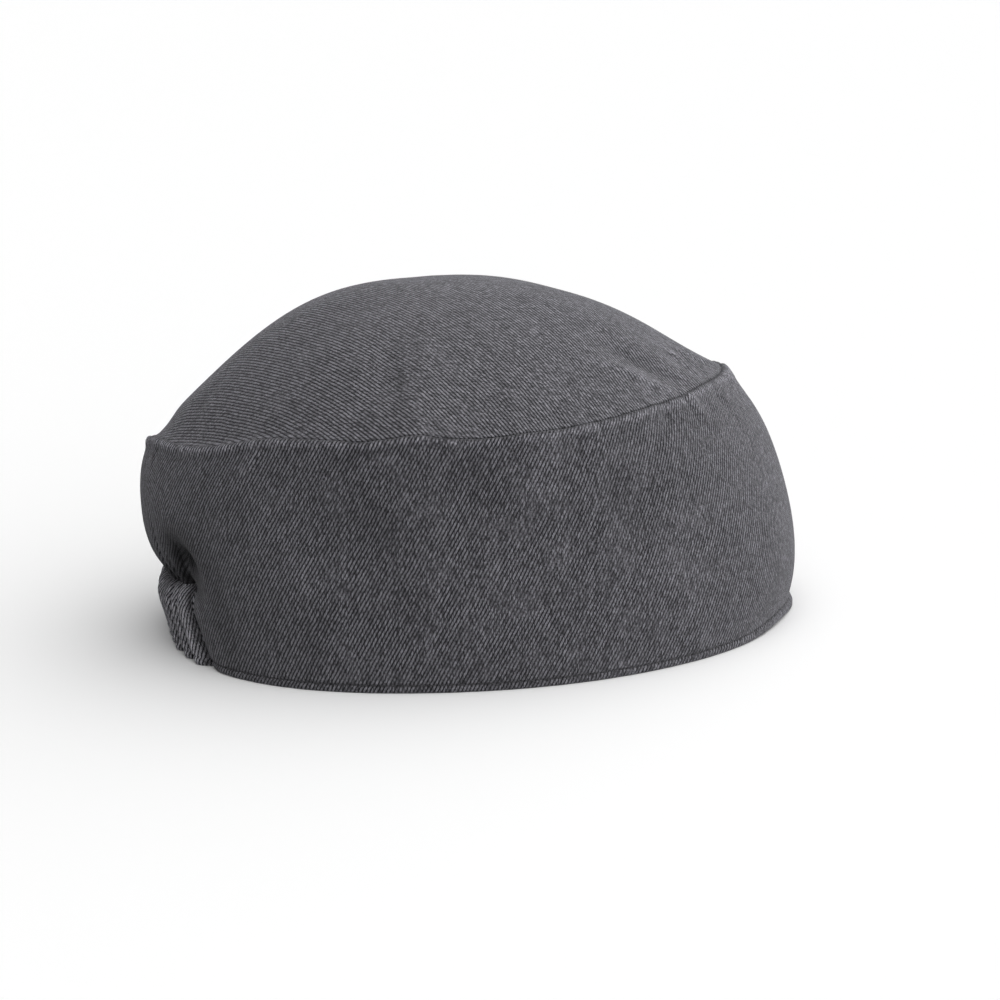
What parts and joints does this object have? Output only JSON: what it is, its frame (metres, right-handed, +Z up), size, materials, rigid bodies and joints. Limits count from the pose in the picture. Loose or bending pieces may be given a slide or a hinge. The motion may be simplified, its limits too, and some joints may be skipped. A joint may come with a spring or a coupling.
{
  "type": "chef skull cap",
  "caption": "Close-fitting cook's cap in grey twill: a tall side band, a domed oval top panel and an elastic casing that gathers the centre back.",
  "frame": {"origin": "on the plane that the rim stands on, under the middle of the cap's bounding box", "axes": "+Z up to the top of the dome, -Y towards the front, +Y towards the gathered back, +X towards the wearer's left side"},
  "size_m": [0.164, 0.2024, 0.107],
  "materials": {
    "crown_twill": "charcoal grey cotton-mix twill, matt, ribs running down towards the front",
    "band_twill": "charcoal grey cotton-mix twill, matt, steep ribs leaning towards the front",
    "casing_twill": "charcoal grey cotton-mix twill, matt, gathered over an elastic"
  },
  "bodies": {
    "root": {"crown_top": "crown_twill", "side_band": "band_twill", "elastic_casing": "casing_twill"}
  },
  "joints": []
}
